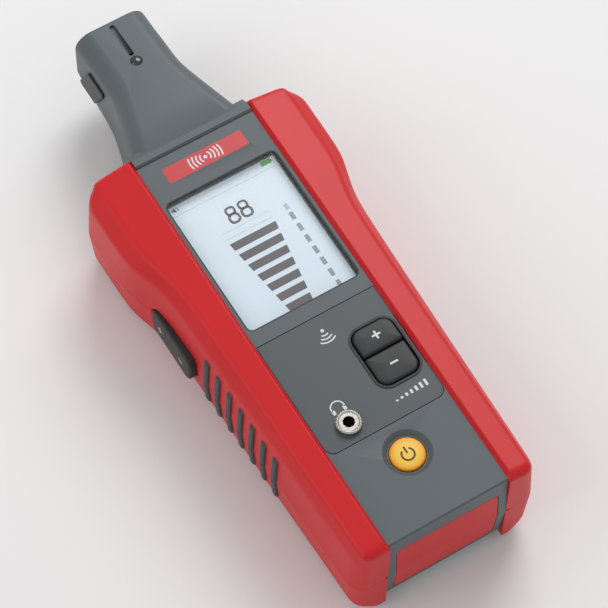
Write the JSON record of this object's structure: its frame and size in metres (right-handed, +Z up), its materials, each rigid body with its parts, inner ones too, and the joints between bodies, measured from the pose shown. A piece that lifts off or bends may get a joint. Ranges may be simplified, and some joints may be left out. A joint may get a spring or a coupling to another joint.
{
  "type": "ultrasonic leak detector receiver",
  "caption": "Hand-held detector receiver with a grey sensor nose, a tall display, a rocker key, a headphone socket, a round power button and red ribbed side grips.",
  "frame": {"origin": "centre of the footprint, on the plane of the flat back", "axes": "+Y from the heel to the nose tip, +Z up out of the face, +X to the right when the nose points up"},
  "size_m": [0.077, 0.195, 0.0429],
  "materials": {
    "aluminium": "satin",
    "black_plastic": "matt",
    "black_rubber": "matt",
    "board_green": "solder mask",
    "cell_jacket": "printed-free wrap",
    "clear_window": "polished",
    "display_glass": "smooth",
    "grey_plastic": "fine grained, satin",
    "lead_rubber": "smooth",
    "nickel": "polished",
    "panel_plastic": "fine grained, satin",
    "red_plate": "smooth",
    "red_rubber": "soft-touch, satin",
    "rib_rubber": "matt",
    "ribbon": "smooth",
    "smoked_lens": "polished",
    "steel": "plated",
    "white_plastic": "smooth",
    "yellow_plastic": "satin"
  },
  "bodies": {
    "body": {"backlight": "white_plastic", "badge_plate": "red_plate", "batteries": "cell_jacket", "board_components": "black_plastic", "board_screws": "steel", "case_screws": "steel", "case_seal": "black_rubber", "contact_plates": "steel", "contact_springs": "steel", "control_panel": "panel_plastic", "display_bezel": "black_plastic", "display_glass": "display_glass", "display_ribbon": "ribbon", "display_window": "clear_window", "end_panel": "red_rubber", "front_case": "grey_plastic", "headphone_jack": "black_plastic", "jack_bushing": "nickel", "jack_nut": "nickel", "lamp_lens": "smoked_lens", "left_front_grip": "red_rubber", "left_front_ribs": "rib_rubber", "left_nose_pad": "black_rubber", "left_rear_grip": "red_rubber", "left_rear_ribs": "rib_rubber", "main_board": "board_green", "nose_ribbon": "ribbon", "power_switch": "black_plastic", "rear_case": "grey_plastic", "right_front_grip": "red_rubber", "right_front_ribs": "rib_rubber", "right_nose_pad": "black_rubber", "right_rear_grip": "red_rubber", "right_rear_ribs": "rib_rubber", "rocker_pin": "steel", "rocker_surround": "black_plastic", "sensitivity_switches": "black_plastic", "sensor_board": "board_green", "sensor_collar": "black_rubber", "sensor_grille": "black_plastic", "sensor_leads": "lead_rubber", "sounder": "black_plastic", "ultrasonic_sensor": "aluminium", "volume_board": "board_green", "volume_pin": "steel", "volume_switches": "black_plastic"},
    "sensitivity_key": {"sensitivity_key": "black_rubber"},
    "volume_key": {"volume_key": "black_rubber"},
    "power_button": {"power_button": "yellow_plastic"},
    "battery_door": {"battery_door": "grey_plastic"},
    "door_screw": {"door_screw": "steel"}
  },
  "joints": [
    {"name": "sensitivity_tilt", "type": "hinge", "parent": "body", "child": "sensitivity_key", "pos_m": [0.0115, -0.04415, 0.0378], "axis": [1, 0, 0], "range_deg": [-2.5, 2.5], "stiffness_Nm_per_rad": 0.06},
    {"name": "volume_tilt", "type": "hinge", "parent": "body", "child": "volume_key", "pos_m": [-0.0297, -0.0003, 0.0187], "axis": [0, 0, 1], "range_deg": [-2.5, 2.5], "stiffness_Nm_per_rad": 0.06},
    {"name": "power_press", "type": "slide", "parent": "body", "child": "power_button", "axis": [0, 0, -1], "range_m": [0, 0.0007], "stiffness_N_per_m": 800, "springref_m": -0.0003},
    {"name": "battery_door_swing", "type": "hinge", "parent": "body", "child": "battery_door", "pos_m": [0, 0.02565, 0], "axis": [1, 0, 0], "range_deg": [0, 60]},
    {"name": "door_screw_turn", "type": "hinge", "parent": "battery_door", "child": "door_screw", "pos_m": [0, -0.0849, 0.003], "axis": [0, 0, 1], "continuous": true}
  ]
}
